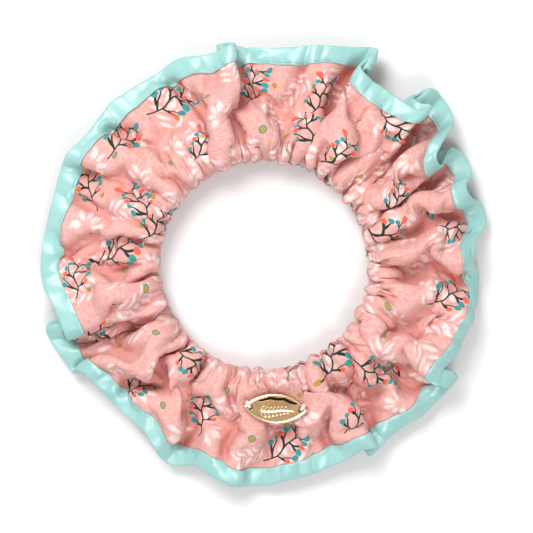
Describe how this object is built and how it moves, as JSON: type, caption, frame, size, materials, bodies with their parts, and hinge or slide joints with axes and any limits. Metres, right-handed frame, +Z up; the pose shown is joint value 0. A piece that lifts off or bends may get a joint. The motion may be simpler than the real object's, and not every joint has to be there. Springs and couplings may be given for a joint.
{
  "type": "scrunchie",
  "caption": "Ruffled hair scrunchie: printed cotton gathered on an elastic loop, with a satin-bound outer edge and a small metal charm.",
  "frame": {"origin": "centre of the ring on the plane that it rests on", "axes": "+Z up through the hole, out of the face with the charm; -Y towards the charm; +X to its right"},
  "size_m": [0.1197, 0.1197, 0.0161],
  "materials": {
    "printed_cotton": "matt woven cotton with a printed sprig pattern",
    "satin_tape": "satin weave with a soft sheen",
    "elastic": "braided elastic",
    "charm_metal": "polished pale gold plating",
    "thread": "white sewing thread",
    "binding_thread": "mint sewing thread"
  },
  "bodies": {
    "front": {"cover_front": "printed_cotton", "binding_front": "satin_tape", "binding_stitch_front": "binding_thread", "elastic_front": "elastic", "charm_plate": "charm_metal", "charm_thread_left": "thread", "charm_thread_right": "thread"},
    "front_right": {"cover_front_right": "printed_cotton", "binding_front_right": "satin_tape", "binding_stitch_front_right": "binding_thread", "elastic_front_right": "elastic"},
    "right": {"cover_right": "printed_cotton", "binding_right": "satin_tape", "binding_stitch_right": "binding_thread", "elastic_right": "elastic"},
    "back_right": {"cover_back_right": "printed_cotton", "binding_back_right": "satin_tape", "binding_stitch_back_right": "binding_thread", "elastic_back_right": "elastic"},
    "back_right_end": {"cover_back_right_end": "printed_cotton", "binding_back_right_end": "satin_tape", "binding_stitch_back_right_end": "binding_thread", "elastic_back_right_end": "elastic", "elastic_join_thread": "thread", "cover_seam_thread": "thread"},
    "back_left_end": {"cover_back_left_end": "printed_cotton", "binding_back_left_end": "satin_tape", "binding_stitch_back_left_end": "binding_thread", "elastic_back_left_end": "elastic"},
    "back_left": {"cover_back_left": "printed_cotton", "binding_back_left": "satin_tape", "binding_stitch_back_left": "binding_thread", "elastic_back_left": "elastic"},
    "left": {"cover_left": "printed_cotton", "binding_left": "satin_tape", "binding_stitch_left": "binding_thread", "elastic_left": "elastic"},
    "front_left": {"cover_front_left": "printed_cotton", "binding_front_left": "satin_tape", "binding_stitch_front_left": "binding_thread", "elastic_front_left": "elastic"}
  },
  "joints": [
    {"name": "stretch", "type": "slide", "parent": "front", "child": "front_right", "axis": [0.9239, 0.3827, 0], "range_m": [0, 0.01378], "stiffness_N_per_m": 180},
    {"name": "stretch_right", "type": "slide", "parent": "front_right", "child": "right", "axis": [0.3827, 0.9239, 0], "range_m": [0, 0.01378], "stiffness_N_per_m": 180},
    {"name": "stretch_back_right", "type": "slide", "parent": "right", "child": "back_right", "axis": [-0.3827, 0.9239, 0], "range_m": [0, 0.01378], "stiffness_N_per_m": 180},
    {"name": "stretch_back_right_end", "type": "slide", "parent": "back_right", "child": "back_right_end", "axis": [-0.9239, 0.3827, 0], "range_m": [0, 0.01378], "stiffness_N_per_m": 180},
    {"name": "stretch_front_left", "type": "slide", "parent": "front", "child": "front_left", "axis": [-0.9239, 0.3827, 0], "range_m": [0, 0.01378], "stiffness_N_per_m": 180},
    {"name": "stretch_left", "type": "slide", "parent": "front_left", "child": "left", "axis": [-0.3827, 0.9239, 0], "range_m": [0, 0.01378], "stiffness_N_per_m": 180},
    {"name": "stretch_back_left", "type": "slide", "parent": "left", "child": "back_left", "axis": [0.3827, 0.9239, 0], "range_m": [0, 0.01378], "stiffness_N_per_m": 180},
    {"name": "stretch_back_left_end", "type": "slide", "parent": "back_left", "child": "back_left_end", "axis": [0.9239, 0.3827, 0], "range_m": [0, 0.01378], "stiffness_N_per_m": 180}
  ],
  "couplings": [
    {"joint": "stretch_right", "follows": "stretch", "ratio": 1},
    {"joint": "stretch_back_right", "follows": "stretch", "ratio": 1},
    {"joint": "stretch_back_right_end", "follows": "stretch", "ratio": 1},
    {"joint": "stretch_front_left", "follows": "stretch", "ratio": 1},
    {"joint": "stretch_left", "follows": "stretch", "ratio": 1},
    {"joint": "stretch_back_left", "follows": "stretch", "ratio": 1},
    {"joint": "stretch_back_left_end", "follows": "stretch", "ratio": 1}
  ]
}
